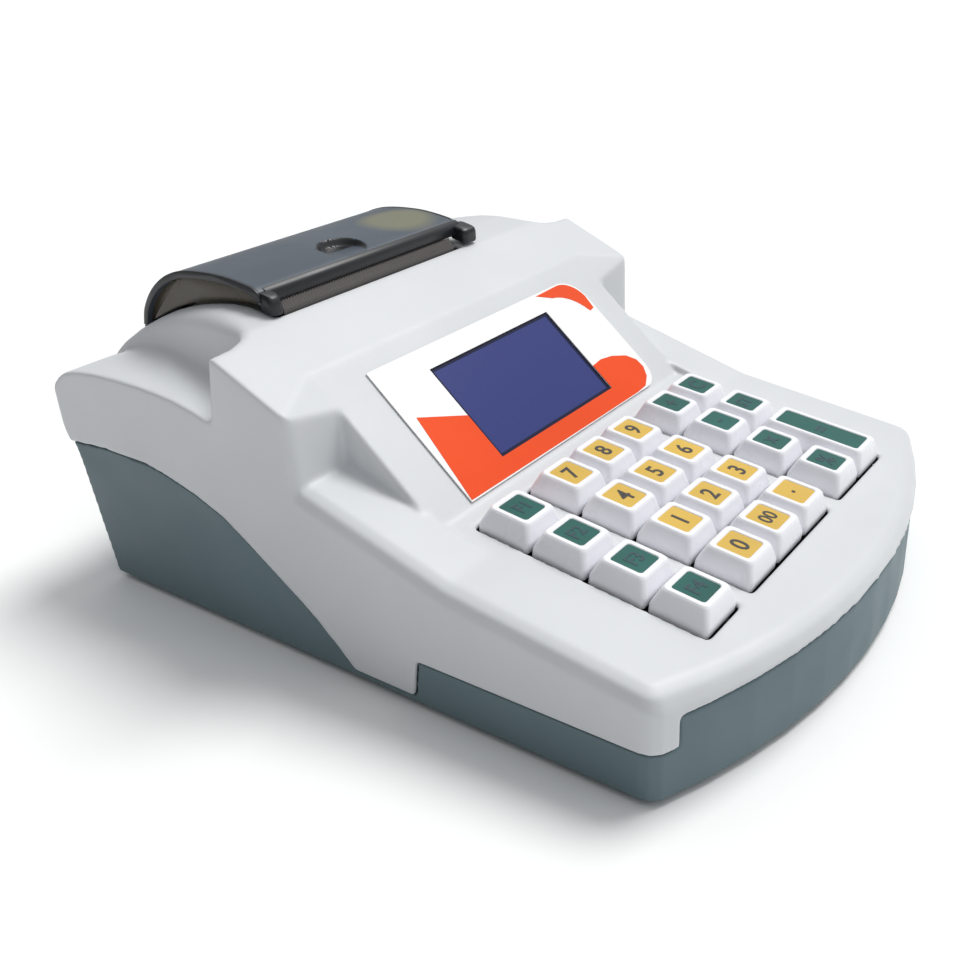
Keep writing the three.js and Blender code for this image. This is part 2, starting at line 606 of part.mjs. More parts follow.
function ringX(outer, inner, x0, x1, [y, z], sides) {
  return cut(rod("x", outer, x0, x1, [y, z], sides), rod("x", inner, x0 - 1, x1 + 1, [y, z], sides));
}

// A spur gear about an X axis; `phase` turns it, in teeth.
const GEAR_MODULE = 0.8;
const GEAR_X = [28.2, 31.2];
function gear(teeth, [y, z], bore, phase) {
  const pitchRadius = (teeth * GEAR_MODULE) / 2;
  const tip = pitchRadius + 0.6;
  const root = pitchRadius - 0.85;
  const points = [];
  for (let i = 0; i < teeth; i++) {
    for (const [share, r] of [[-0.3, root], [-0.12, tip], [0.12, tip], [0.3, root]]) {
      const angle = ((i + share + phase) / teeth) * 2 * Math.PI;
      points.push([y + r * Math.cos(angle), z + r * Math.sin(angle)]);
    }
  }
  return cut(alongX(points, ...GEAR_X), rod("x", bore, GEAR_X[0] - 1, GEAR_X[1] + 1, [y, z], 12));
}

// The train drops from the platen to the motor; each centre distance has a little backlash.
const TEETH = { platen: 20, idler: 26, motor: 10 };
const BACKLASH = 0.25;
const apart = (a, b) => ((a + b) * GEAR_MODULE) / 2 + BACKLASH;
const TRAIN_ANGLE = -THREE.MathUtils.degToRad(135);
const platenAt = [PLATEN.y, PLATEN.z];
const stepAlong = ([y, z], distance) => [
  y + distance * Math.cos(TRAIN_ANGLE),
  z + distance * Math.sin(TRAIN_ANGLE),
];
const idlerAt = stepAlong(platenAt, apart(TEETH.platen, TEETH.idler));
const motorAt = stepAlong(idlerAt, apart(TEETH.idler, TEETH.motor));
const turns = TRAIN_ANGLE / (2 * Math.PI);
// A tooth of one gear faces a gap of the next, along the line of centres.
const facing = { platen: turns * TEETH.platen, idler: (turns + 0.5) * TEETH.idler + 0.5,
  idlerOut: turns * TEETH.idler };
const idlerPhase = facing.idler;
const outTooth = facing.idlerOut - idlerPhase;
const motorPhase = (turns + 0.5) * TEETH.motor + 0.5 - (outTooth - Math.round(outTooth));

place("paper_tub", paperTub(), plastic(0xc3c5cc));
place("printer_cover", coverShape(), SMOKE);
place("paper_core", ringX(ROLL.coreOuter, ROLL.coreInner, ...PAPER_X, [ROLL.y, ROLL.z], 20), CARD);
place("paper_roll", ringX(ROLL.r, ROLL.coreOuter + GAP, ...PAPER_X, [ROLL.y, ROLL.z], 40), PAPER);

place("platen_shaft", rod("x", PLATEN.shaft, -58.9, 31.4, platenAt, 16), STEEL);
place("platen_rubber", ringX(PLATEN.r, PLATEN.shaft + GAP, ...PAPER_X, platenAt, 24), BLACK);
place("platen_gear", gear(TEETH.platen, platenAt, PLATEN.shaft + GAP, facing.platen), GEAR);
place("idler_gear", gear(TEETH.idler, idlerAt, 1.5 + GAP, idlerPhase), GEAR);
place("motor_pinion", gear(TEETH.motor, motorAt, 1 + GAP, motorPhase), GEAR);

const FRAME_LEFT = [-58.5, -57];
const FRAME_RIGHT = [26.2, 27.7];
function printerFrame() {
  const cheek = [[131, 54], [148, 54], [157, 62], [157, 80], [165, 84], [165, 95.5], [153, 95.5], [140, 88],
    [131, 75]];
  const plates = [FRAME_LEFT, FRAME_RIGHT].map(([x0, x1]) => alongX(cheek, x0, x1));
  const tie = box(FRAME_LEFT[0], FRAME_RIGHT[1], 141, 143, 78, 88);
  const idlerStud = rod("x", 1.5, 27, 31.4, idlerAt, 12);
  const shaftHoles = rod("x", PLATEN.shaft + GAP, -70, 40, platenAt, 16);
  const motorHole = rod("x", 2.5, 20, 40, motorAt, 12);
  return cut(join([...plates, tie, idlerStud]), shaftHoles, motorHole);
}
place("printer_frame", printerFrame(), STEEL);
const MOTOR_X = [8, 25.9];
const motor = join([
  rod("x", 7.5, ...MOTOR_X, motorAt, 20),
  rod("x", 1, MOTOR_X[1] - 1, 31.4, motorAt, 10),
]);
place("stepper_motor", motor, STEEL);

const HEAD_Y = [150.4, 152.9];
place("print_head", box(-52, 22, ...HEAD_Y, 79, 93.5), plastic(0x3a3d40));
place("tear_bar", alongX([[152.4, 95.8], [154.2, 95.8], [154.9, 101.2], [154.3, 102.2], [152.4, 99.4]],
  -58.5, 27.9), BLACK);

const LEVER_AT = [151, 74];
function headLever() {
  const hub = rod("x", 3.2, -61.4, -59.2, LEVER_AT, 14);
  const arm = alongX([[149.6, 74], [152.4, 74], [169.5, 94.5], [167, 96.5]], -61.4, -59.2);
  return hub.add(arm);
}
place("head_lever", headLever(), LEVER_GREEN);

// ---------------------------------------------------------------- electronics and rear panel
const MAIN_BOARD_Z = [7, 8.6];
place("main_board", box(-70, 70, 14, 112, ...MAIN_BOARD_Z), BOARD);
place("fiscal_module", box(-64, -20, 62, 104, MAIN_BOARD_Z[1] + GAP, 22), BLACK);
place("battery_pack", box(BATTERY_X[0] + 1, BATTERY_X[1] - 1, BATTERY_Y[0] + 1, BATTERY_Y[1] - 1, 3.2, 25), BATTERY);
place("battery_door", box(BATTERY_X[0] + 0.5, BATTERY_X[1] - 0.5, BATTERY_Y[0] + 0.5, BATTERY_Y[1] - 0.5, 0, 2.2), DARK_TEAL);

// Sockets are blocks behind the rear wall, open to the rear.
const PANEL_INNER_Y = onRearWall(PORTS.data.z - 7) - REVEAL - LOWER_WALL - GAP;
const { jack, data, rocker } = PORTS;
const socket = (depth) => [PANEL_INNER_Y - depth, PANEL_INNER_Y + 12];
const jackBlock = rod("y", 6.5, PANEL_INNER_Y - 12, PANEL_INNER_Y, [jack.x, jack.z], 20);
const jackPin = rod("y", 1, PANEL_INNER_Y - 9, PANEL_INNER_Y - 1.6, [jack.x, jack.z], 10);
place("power_jack", cut(jackBlock, rod("y", 3.2, ...socket(8), [jack.x, jack.z], 16)).add(jackPin), BLACK);
const dataBlock = box(data.x - 8, data.x + 8, PANEL_INNER_Y - 13, PANEL_INNER_Y, data.z - 7, data.z + 7);
const dataHole = box(data.x - 5.5, data.x + 5.5, ...socket(10), data.z - 3.5, data.z + 4);
place("data_port", cut(dataBlock, dataHole), BLACK);
const rockerSide = [[-9.6, -6], [-4.1, -8.6], [1.2, -8.6], [-1, 0], [0, 8.6], [-4.1, 8.6], [-9.6, 6]];
const rockerY = onRearWall(rocker.z);
place("power_rocker", alongX(rockerSide.map(([y, z]) => [y + rockerY, z + rocker.z]).reverse(),
  rocker.x - 5.6, rocker.x + 5.6), BLACK);

const whole = new THREE.Group();
whole.add(body);
export default whole;
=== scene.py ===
"""The looks of a desktop fare register with a receipt printer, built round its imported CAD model.

Lengths named in capitals are millimetres in the register's own axes: x = 0 is the middle plane, y = 0 the
line through the two front corners and z = 0 the underside of the lower case. BODY turns them into the
frame's metres. The deck and the display panel have axes of their own: x, v up the slope, n out of it.
"""

import math

import bmesh
import bpy
from mathutils import Matrix, Vector


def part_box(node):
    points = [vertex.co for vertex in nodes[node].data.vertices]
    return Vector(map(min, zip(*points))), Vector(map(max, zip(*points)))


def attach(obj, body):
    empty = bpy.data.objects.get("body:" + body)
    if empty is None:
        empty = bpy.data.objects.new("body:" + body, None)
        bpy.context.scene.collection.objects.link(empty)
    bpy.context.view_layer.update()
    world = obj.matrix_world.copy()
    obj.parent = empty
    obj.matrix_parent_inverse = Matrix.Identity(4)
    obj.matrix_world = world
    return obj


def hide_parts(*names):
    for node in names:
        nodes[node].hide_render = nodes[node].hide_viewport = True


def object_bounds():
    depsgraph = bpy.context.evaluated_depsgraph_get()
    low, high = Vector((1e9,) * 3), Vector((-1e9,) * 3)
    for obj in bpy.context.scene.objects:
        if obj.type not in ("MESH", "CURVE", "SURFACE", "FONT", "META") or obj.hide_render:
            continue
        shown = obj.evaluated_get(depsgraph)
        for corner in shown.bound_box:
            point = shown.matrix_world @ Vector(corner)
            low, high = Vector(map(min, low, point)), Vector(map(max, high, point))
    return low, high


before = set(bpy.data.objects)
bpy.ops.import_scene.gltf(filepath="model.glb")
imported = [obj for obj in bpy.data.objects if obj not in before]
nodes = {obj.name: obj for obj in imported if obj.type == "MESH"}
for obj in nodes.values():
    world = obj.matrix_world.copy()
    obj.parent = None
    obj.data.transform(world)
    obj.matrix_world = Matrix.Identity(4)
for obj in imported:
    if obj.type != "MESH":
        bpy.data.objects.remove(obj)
cad_low, cad_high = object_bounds()

# ---------------------------------------------------------------- dimensions, as in the CAD source
MIDDLE_Y = 107.85
FOOT_DROP = 2.0
DECK_TILT = math.radians(9.0)
DECK_Z = 33.5
PANEL_TILT = math.radians(41.9)
PANEL_Y = 88.7
PANEL_Z = 52.3
PITCH = 19.05
GROUP_GAP = 7.4
FRONT_ROW_V = 10.4
KEY_TOP = 7.0
INSERT_N = 6.6
STEM_HALF = 3.0
WINDOW_HALF = 33.5
WINDOW_HIGH = 36.9
COVER_X = (-65.0, 35.0)
ROLL_Y = 189.0
ROLL_Z = 70.0
ROLL_R = 27.0
CORE_R = 8.6
PAPER_X = (-54.75, 24.75)
PAPER_WIDE = PAPER_X[1] - PAPER_X[0]
PLATEN = (159.4, 90.0)
PLATEN_R = 6.0
SHAFT_R = 2.55
HINGE = (221.5, 84.5)
HINGE_LUGS = ((-50.0, -44.0), (18.0, 24.0))

MM = 0.001
BODY = Matrix.Translation((0, -MIDDLE_Y * MM, FOOT_DROP * MM)) @ Matrix.Scale(MM, 4)


def slope(y, z, tilt):
    """The axes of a face that rises towards the rear, from the line (y, z) up."""
    return BODY @ Matrix.Translation((0, y, z)) @ Matrix.Rotation(tilt, 4, "X")


DECK = slope(0, DECK_Z, DECK_TILT)
PANEL = slope(PANEL_Y, PANEL_Z, PANEL_TILT)


# ---------------------------------------------------------------- materials
class Shader:
    """A node material under construction, with the Principled shader's settings as keywords."""

    def __init__(self, name, **settings):
        self.material = bpy.data.materials.new(name)
        self.material.use_nodes = True
        self.tree = self.material.node_tree
        self.principled = self.tree.nodes["Principled BSDF"]
        for key, value in settings.items():
            self.principled.inputs[key.replace("_", " ").title().replace("Ior", "IOR")].default_value = value
        self.where = self.node("ShaderNodeTexCoord").outputs["Object"]

    def node(self, kind, **inputs):
        made = self.tree.nodes.new(kind)
        for key, value in inputs.items():
            made.inputs[key].default_value = value
        return made

    def link(self, a, b):
        self.tree.links.new(a, b)

    def noise(self, scale, detail=3.0, stretch=None):
        made = self.node("ShaderNodeTexNoise", Scale=scale, Detail=detail)
        where = self.where
        if stretch:
            mapping = self.node("ShaderNodeMapping", Scale=stretch)
            self.link(where, mapping.inputs["Vector"])
            where = mapping.outputs["Vector"]
        self.link(where, made.inputs["Vector"])
        return made.outputs["Fac"]

    def ramp(self, value, stops):
        made = self.node("ShaderNodeValToRGB")
        elements = made.color_ramp.elements
        while len(elements) < len(stops):
            elements.new(0.5)
        for element, (position, colour) in zip(elements, stops):
            element.position = position
            element.color = (*colour, 1.0)
        self.link(value, made.inputs["Fac"])
        return made.outputs["Color"]

    def remap(self, value, low, high, start=0.3, end=0.7):
        """The value's range from start to end, turned into low to high and held there."""
        made = self.node("ShaderNodeMapRange")
        settings = {"From Min": start, "From Max": end, "To Min": low, "To Max": high}
        for key, number in settings.items():
            made.inputs[key].default_value = number
        self.link(value, made.inputs["Value"])
        return made.outputs["Result"]

    def vector_math(self, operation, vector, constant=None):
        made = self.node("ShaderNodeVectorMath")
        made.operation = operation
        self.link(vector, made.inputs[0])
        if constant is not None:
            made.inputs[1].default_value = constant
        return made.outputs["Value" if operation == "LENGTH" else "Vector"]

    def bricks(self, where, wide, high, gap, colours, offset=0.5):
        """A brick pattern in metres. colours are those of the two bricks and of the mortar."""
        made = self.node("ShaderNodeTexBrick", Scale=1.0)
        made.offset = offset
        for key, number in {"Brick Width": wide, "Row Height": high, "Mortar Size": gap}.items():
            made.inputs[key].default_value = number
        for key, colour in zip(("Color1", "Color2", "Mortar"), colours):
            made.inputs[key].default_value = (*colour, 1)
        self.link(where, made.inputs["Vector"])
        return made

    def colour(self, socket):
        self.link(socket, self.principled.inputs["Base Color"])

    def roughness(self, socket):
        self.link(socket, self.principled.inputs["Roughness"])

    def bump(self, value, strength, distance):
        made = self.node("ShaderNodeBump", Strength=strength, Distance=distance)
        self.link(value, made.inputs["Height"])
        self.link(made.outputs["Normal"], self.principled.inputs["Normal"])


def shade_of(colour, factor):
    """The colour, lighter or darker."""
    return tuple(min(1.0, channel * factor) for channel in colour)


def moulded(name, colour, roughness, grain=2600.0, depth=0.00006, spread=0.03, **settings):
    """Injection-moulded plastic: slow colour drift, uneven sheen and a fine spark-eroded grain."""
    s = Shader(name, **settings)
    drift = s.noise(18.0, 4.0)
    s.colour(s.ramp(drift, [(0.3, shade_of(colour, 1 - spread)), (0.7, shade_of(colour, 1 + spread))]))
    s.roughness(s.remap(s.noise(55.0, 5.0), roughness - 0.05, roughness + 0.06))
    s.bump(s.noise(grain, 2.0), 0.35, depth)
    return s.material


def brushed(name, colour, roughness):
    """Bright metal with fine brush lines along x."""
    s = Shader(name, metallic=1.0)
    lines = s.noise(180.0, 4.0, (1.0, 40.0, 40.0))
    s.colour(s.ramp(lines, [(0.35, shade_of(colour, 0.86)), (0.65, shade_of(colour, 1.05))]))
    s.roughness(s.remap(lines, roughness - 0.06, roughness + 0.1))
    s.bump(lines, 0.15, 0.00004)
    return s.material


LIGHT_GREY = moulded("light_grey_case", (0.615, 0.63, 0.65), 0.45)
DARK_TEAL = moulded("dark_teal_case", (0.105, 0.160, 0.182), 0.5, spread=0.06)
INNER_GREY = moulded("inner_grey", (0.55, 0.56, 0.59), 0.5)
BLACK_PLASTIC = moulded("black_plastic", (0.022, 0.023, 0.026), 0.42, spread=0.15)
RUBBER = moulded("black_rubber", (0.018, 0.018, 0.018), 0.72, 900.0, 0.0001, 0.2)
SILICONE = moulded("silicone", (0.50, 0.53, 0.56), 0.6)
NYLON = moulded("white_nylon", (0.78, 0.76, 0.70), 0.4)
LEVER_GREEN = moulded("lever_green", (0.05, 0.27, 0.16), 0.4)
KEY_WHITE = moulded("key_white", (0.86, 0.86, 0.90), 0.28, 2200.0, 0.00003, 0.02)
INSERT_GREEN = moulded("insert_green", (0.010, 0.095, 0.080), 0.5, spread=0.25, specular_ior_level=0.3)
INSERT_YELLOW = moulded("insert_yellow", (0.66, 0.43, 0.075), 0.5, spread=0.1, specular_ior_level=0.3)
LEGEND_DARK = moulded("legend_dark", (0.035, 0.03, 0.025), 0.5, spread=0.1)
LEGEND_TEAL = moulded("legend_teal", (0.006, 0.045, 0.055), 0.5, spread=0.1)
LABEL_WHITE = moulded("label_white", (0.90, 0.90, 0.89), 0.3, 1500.0, 0.00002, 0.01, coat_weight=0.4)
LABEL_ORANGE = moulded("label_orange", (0.80, 0.075, 0.012), 0.5, 1500.0, 0.00002, 0.05,
                       specular_ior_level=0.15)
DISPLAY_BORDER = moulded("display_border", (0.014, 0.016, 0.042), 0.5, spread=0.1, specular_ior_level=0.1)
STEEL = brushed("steel", (0.60, 0.61, 0.63), 0.32)
TEAR_BAR = moulded("tear_bar", (0.085, 0.078, 0.074), 0.34, spread=0.12)
SCREW_STEEL = brushed("screw_steel", (0.45, 0.46, 0.48), 0.3)
CARD = moulded("card", (0.42, 0.30, 0.18), 0.85, 700.0, 0.0001, 0.12)
PAPER = moulded("paper", (0.88, 0.87, 0.83), 0.8, 1200.0, 0.00004, 0.02)
BATTERY_WRAP = moulded("battery_wrap", (0.03, 0.07, 0.26), 0.3, 300.0, 0.0002, 0.1)


def smoked(name, colour, alpha, roughness, patch=None):
    """See-through smoked plastic, with faint fingermarks in its polish.

    A patch is (centre, half sizes, colour) of a soft spot where the light comes through from below.
    """
    s = Shader(name, alpha=alpha, specular_ior_level=0.5)
    drift = s.noise(25.0, 3.0)
    tint = s.ramp(drift, [(0.3, shade_of(colour, 0.9)), (0.7, shade_of(colour, 1.12))])
    if patch:
        centre, half, glow = patch
        to_patch = s.node("ShaderNodeMapping")
        to_patch.vector_type = "TEXTURE"
        to_patch.inputs["Location"].default_value = BODY @ Vector(centre)
        to_patch.inputs["Scale"].default_value = [size * MM for size in half]
        s.link(s.where, to_patch.inputs["Vector"])
        away = s.vector_math("LENGTH", to_patch.outputs["Vector"])
        mix = s.node("ShaderNodeMix")
        mix.data_type = "RGBA"
        plain, spot, mixed = mix.inputs[6], mix.inputs[7], mix.outputs[2]
        s.link(s.remap(away, 0.0, 1.0, 1.15, 0.7), mix.inputs["Factor"])
        s.link(tint, plain)
        spot.default_value = (*glow, 1.0)
        tint = mixed
    s.colour(tint)
    s.roughness(s.remap(s.noise(40.0, 6.0), roughness, roughness + 0.12))
    return s.material


# The top's slate blue is the smoke's tint with a painted blue reflection of the sky in it, where the ends
# show the plain brown tint; a soft olive spot of painted light is set where light comes through from below.
SMOKE_TOP = smoked("smoked_top", (0.062, 0.080, 0.105), 0.93, 0.34,
                   ((20.0, 172.5, 108.5), (15.0, 13.5, 14.0), (0.18, 0.18, 0.115)))
SMOKE_END = smoked("smoked_end", (0.070, 0.056, 0.036), 0.86, 0.2)
SMOKE_EDGE = smoked("smoked_edge", (0.010, 0.011, 0.014), 0.985, 0.3)


def paper_side():
    """The roll's end: fine rings, one for each few turns of paper."""
    s = Shader("paper_side", roughness=0.85)
    from_axis = s.vector_math("SUBTRACT", s.where, BODY @ Vector((0, ROLL_Y, ROLL_Z)))
    radius = s.vector_math("LENGTH", s.vector_math("MULTIPLY", from_axis, (0, 1, 1)))
    stretch = s.node("ShaderNodeMath")
    stretch.operation = "MULTIPLY"
    stretch.inputs[1].default_value = 900.0
    s.link(radius, stretch.inputs[0])
    rings = s.node("ShaderNodeTexNoise", Scale=1.0, Detail=4.0)
    rings.noise_dimensions = "1D"
    s.link(stretch.outputs[0], rings.inputs["W"])
    s.colour(s.ramp(rings.outputs["Fac"], [(0.35, (0.62, 0.60, 0.54)), (0.65, (0.86, 0.84, 0.79))]))
    s.bump(rings.outputs["Fac"], 0.4, 0.0001)
    return s.material


def dot_display():
    """A blue display at rest: square dots, with slightly darker lines between them."""
    s = Shader("blue_display", roughness=0.25, specular_ior_level=0.25)
    mapping = s.node("ShaderNodeMapping", Rotation=(-PANEL_TILT, 0, 0))
    s.link(s.where, mapping.inputs["Vector"])
    colours = [(0.030, 0.042, 0.180), (0.033, 0.046, 0.195), (0.024, 0.034, 0.155)]
    dots = s.bricks(mapping.outputs["Vector"], 0.00052, 0.00056, 0.00004, colours, offset=0.0)
    s.colour(dots.outputs["Color"])
    return s.material


def circuit_board():
    """Green solder mask over copper tracks that run along x and y."""
    s = Shader("circuit_board", roughness=0.35)
    colours = [(0.012, 0.12, 0.05), (0.014, 0.14, 0.06), (0.03, 0.25, 0.10)]
    tracks = s.bricks(s.where, 0.009, 0.0026, 0.0003, colours)
    s.colour(tracks.outputs["Color"])
    s.bump(tracks.outputs["Fac"], 0.3, 0.0001)
    return s.material


PAPER_SIDE = paper_side()
DISPLAY = dot_display()
BOARD = circuit_board()


# ---------------------------------------------------------------- mesh building
def shade(mesh, angle=35.0):
    """Smooth faces, with edges sharper than the angle kept sharp."""
    bm = bmesh.new()
    bm.from_mesh(mesh)
    bmesh.ops.recalc_face_normals(bm, faces=bm.faces)
    for face in bm.faces:
        face.smooth = True
    for edge in bm.edges:
        edge.smooth = len(edge.link_faces) == 2 and edge.calc_face_angle(0) < math.radians(angle)
    bm.to_mesh(mesh)
    bm.free()


def piece(name, verts, faces, matrix, body, materials, face_materials=None, slot=None, angle=35.0):
    """A mesh piece on a body. verts are in the matrix's own millimetres, face_materials are slot numbers."""
    mesh = bpy.data.meshes.new(name)
    mesh.from_pydata([matrix @ Vector(v) for v in verts], [], faces)
    for material in materials:
        mesh.materials.append(material)
    if face_materials:
        mesh.polygons.foreach_set("material_index", face_materials)
    mesh.validate()
    shade(mesh, angle)
    made = bpy.data.objects.new(name, mesh)
    bpy.context.scene.collection.objects.link(made)
    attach(made, body)
    return made


def rounded_ring(half_x, half_y, radius, z, centre=(0.0, 0.0), steps=5):
    """A rounded rectangle's points, anticlockwise, at height z."""
    points = []
    for quarter, (sx, sy) in enumerate([(1, 1), (-1, 1), (-1, -1), (1, -1)]):
        cx = centre[0] + sx * (half_x - radius)
        cy = centre[1] + sy * (half_y - radius)
        for i in range(steps + 1):
            a = (quarter + i / steps) * math.pi / 2
            points.append((cx + radius * math.cos(a), cy + radius * math.sin(a), z))
    return points


def loft(rings):
    """Faces that join equal rings of points in turn, with flat ends."""
    n = len(rings[0])
    verts = [p for ring in rings for p in ring]
    faces = []
    for k in range(len(rings) - 1):
        for i in range(n):
            j = (i + 1) % n
            faces.append((k * n + i, k * n + j, (k + 1) * n + j, (k + 1) * n + i))
    faces.append(tuple(reversed(range(n))))
    faces.append(tuple(range((len(rings) - 1) * n, len(rings) * n)))
    return verts, faces


def swept(outline, x0, x1, bevel):
    """A closed (y, z) outline swept along x, its two ends rounded by the bevel."""
    def inset(x, d):
        ring = []
        n = len(outline)
        for i, (y, z) in enumerate(outline):
            (ya, za), (yb, zb) = outline[i - 1], outline[(i + 1) % n]
            ty, tz = yb - ya, zb - za
            size = math.hypot(ty, tz) or 1.0
            ny, nz = tz / size, -ty / size
            ring.append((x, y - ny * d * turn, z - nz * d * turn))
        return ring

    area = sum(a[0] * b[1] - b[0] * a[1] for a, b in zip(outline, outline[1:] + outline[:1]))
    turn = 1.0 if area > 0 else -1.0
    steps = [(0.0, 1.0), (0.3, 0.3), (1.0, 0.0)]
    rings = [inset(x0 + bevel * a, bevel * b) for a, b in steps]
    rings += [inset(x1 - bevel * a, bevel * b) for a, b in reversed(steps)]
    return loft(rings)


def lathe(profile, axis_at, axis, body, name, materials, sides=48, slot=None, face_material=None, angle=35.0):
    """A (radius, along) profile turned about an axis. Points with radius 0 close the ends."""
    verts, faces, mats = [], [], []
    rows = []
    for radius, along in profile:
        row = []
        count = 1 if radius < 1e-6 else sides
        for i in range(count):
            a = 2 * math.pi * i / sides
            u, w = radius * math.cos(a), radius * math.sin(a)
            if axis == "x":
                verts.append((axis_at[0] + along, axis_at[1] + u, axis_at[2] + w))
            else:
                verts.append((axis_at[0] + u, axis_at[1] + w, axis_at[2] + along))
            row.append(len(verts) - 1)
        rows.append(row)
    for k in range(len(rows) - 1):
        a, b = rows[k], rows[k + 1]
        for i in range(sides):
            j = (i + 1) % sides
            face = [a[i % len(a)], a[j % len(a)], b[j % len(b)], b[i % len(b)]]
            unique = list(dict.fromkeys(face))
            if len(unique) > 2:
                faces.append(tuple(unique))
                mats.append(face_material(k) if face_material else 0)
    return piece(name, verts, faces, BODY, body, materials, mats, slot, angle)


def spline(points, steps):
    """A smooth (Catmull-Rom) curve through points in the plane."""
    out = []
    padded = [points[0]] + list(points) + [points[-1]]
    for i in range(1, len(padded) - 2):
        p0, p1, p2, p3 = padded[i - 1 : i + 3]
        for k in range(steps):
            t = k / steps
            point = []
            for a, b, c, d in zip(p0, p1, p2, p3):
                square = 2 * a - 5 * b + 4 * c - d
                cube = 3 * b - a - 3 * c + d
                point.append(0.5 * (2 * b + (c - a) * t + square * t * t + cube * t**3))
            out.append(tuple(point))
    out.append(tuple(points[-1]))
    return out


# ---------------------------------------------------------------- CAD nodes that stay
def clad(name, material):
    """A CAD node with its own material and its loose corners welded."""
    node = nodes[name]
    node.data.materials.clear()
    node.data.materials.append(material)
    weld = node.modifiers.new("weld", "WELD")
    weld.merge_threshold = 0.00001
    return node


def finish_node(name, material, bevel):
    """A CAD node with slightly rounded edges."""
    node = clad(name, material)
    for polygon in node.data.polygons:
        polygon.use_smooth = True
    flat = node.modifiers.new("flat", "DECIMATE")
    flat.decimate_type = "DISSOLVE"
    flat.angle_limit = math.radians(1.0)
    round_off = node.modifiers.new("round", "BEVEL")
    round_off.width = bevel
    round_off.segments = 2
    round_off.limit_method = "ANGLE"
    round_off.angle_limit = math.radians(40)
    normals = node.modifiers.new("normals", "WEIGHTED_NORMAL")
    normals.keep_sharp = True


def mould_node(name, material, voxel, rounds, kept):
    """A CAD shell with every edge rounded, as a moulding's are: remeshed finely, then relaxed."""
    node = clad(name, material)
    remesh = node.modifiers.new("remesh", "REMESH")
    remesh.mode = "VOXEL"
    remesh.voxel_size = voxel
    remesh.use_smooth_shade = True
    relax = node.modifiers.new("relax", "SMOOTH")
    relax.factor = 0.5
    relax.iterations = rounds
    thin = node.modifiers.new("thin", "DECIMATE")
    thin.ratio = kept


mould_node("upper_case", LIGHT_GREY, 0.00065, 20, 0.2)
mould_node("lower_case", DARK_TEAL, 0.0006, 6, 0.2)

CORNERS = ("front_left", "front_right", "rear_left", "rear_right")
FINE_BEVEL, BEVEL = 0.00015, 0.0003
NODE_MATERIALS = {
    "battery_door": DARK_TEAL,
    "key_guide_frame": BLACK_PLASTIC,
    "key_mat": SILICONE,
    "keyboard_board": BOARD,
    "lcd_module": STEEL,
    "paper_tub": INNER_GREY,
    "printer_frame": STEEL,
    "stepper_motor": STEEL,
    "print_head": BLACK_PLASTIC,
    "main_board": BOARD,
    "fiscal_module": BLACK_PLASTIC,
    "battery_pack": BATTERY_WRAP,
    "power_jack": BLACK_PLASTIC,
    "data_port": BLACK_PLASTIC,
    "power_rocker": BLACK_PLASTIC,
    "platen_shaft": STEEL,
    "platen_gear": NYLON,
    "idler_gear": NYLON,
    "motor_pinion": NYLON,
    "head_lever": LEVER_GREEN,
    "paper_core": CARD,
    "display_window": DISPLAY,
    **{"case_screw_" + corner: SCREW_STEEL for corner in CORNERS},
}
for node_name, node_material in NODE_MATERIALS.items():
    is_fine = node_name.endswith(("gear", "pinion", "window"))
    finish_node(node_name, node_material, FINE_BEVEL if is_fine else BEVEL)

# ---------------------------------------------------------------- feet, platen and paper
for place_name in CORNERS:
    low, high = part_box("foot_" + place_name)
    centre = (low + high) / 2
    x, y = centre.x / MM, centre.y / MM + MIDDLE_Y
    profile = [(0, -2.0), (5.2, -2.0), (6.2, -1.8), (6.7, -1.2), (6.9, -0.3), (6.9, 0.45), (0, 0.45)]
    foot = lathe(profile, (x, y, 0), "z", "case", "rubber_foot_" + place_name, [RUBBER], 40, "black_rubber")
    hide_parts("foot_" + place_name)


def tube(inner_r, outer_r, chamfer, edge):
    """The profile of a tube as wide as the paper, with its two outer edges chamfered."""
    narrow = outer_r - chamfer
    return [
        (inner_r, 0), (narrow, 0), (outer_r, edge), (outer_r, PAPER_WIDE - edge), (narrow, PAPER_WIDE),
        (inner_r, PAPER_WIDE), (inner_r, 0),
    ]


platen = lathe(tube(SHAFT_R, PLATEN_R, 0.4, 0.5), (PAPER_X[0], *PLATEN), "x", "platen", "platen_roller",
               [RUBBER], 48, "black_rubber")
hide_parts("platen_rubber")
roll = lathe(tube(CORE_R, ROLL_R, 0.4, 0.25), (PAPER_X[0], ROLL_Y, ROLL_Z), "x", "paper", "receipt_roll",
             [PAPER, PAPER_SIDE], 96, "paper", lambda k: 1 if k in (0, 4) else 0)
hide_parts("paper_roll")

# ---------------------------------------------------------------- keys
# The columns from left to right in three groups: each key's name and legend, from the rear row to the front.
KEY_COLUMNS = [
    ("f1 f2 f3 f4", "F1 F2 F3 F4", INSERT_GREEN),
    ("7 4 1 0", "7 4 1 0", INSERT_YELLOW),
    ("8 5 2 00", "8 5 2 00", INSERT_YELLOW),
    ("9 6 3 point", "9 6 3 .", INSERT_YELLOW),
    ("plus minus multiply percent", "+ - x %", INSERT_GREEN),
    ("clear subtotal total", "C ST =", INSERT_GREEN),
]
FRONT_ROW = 3


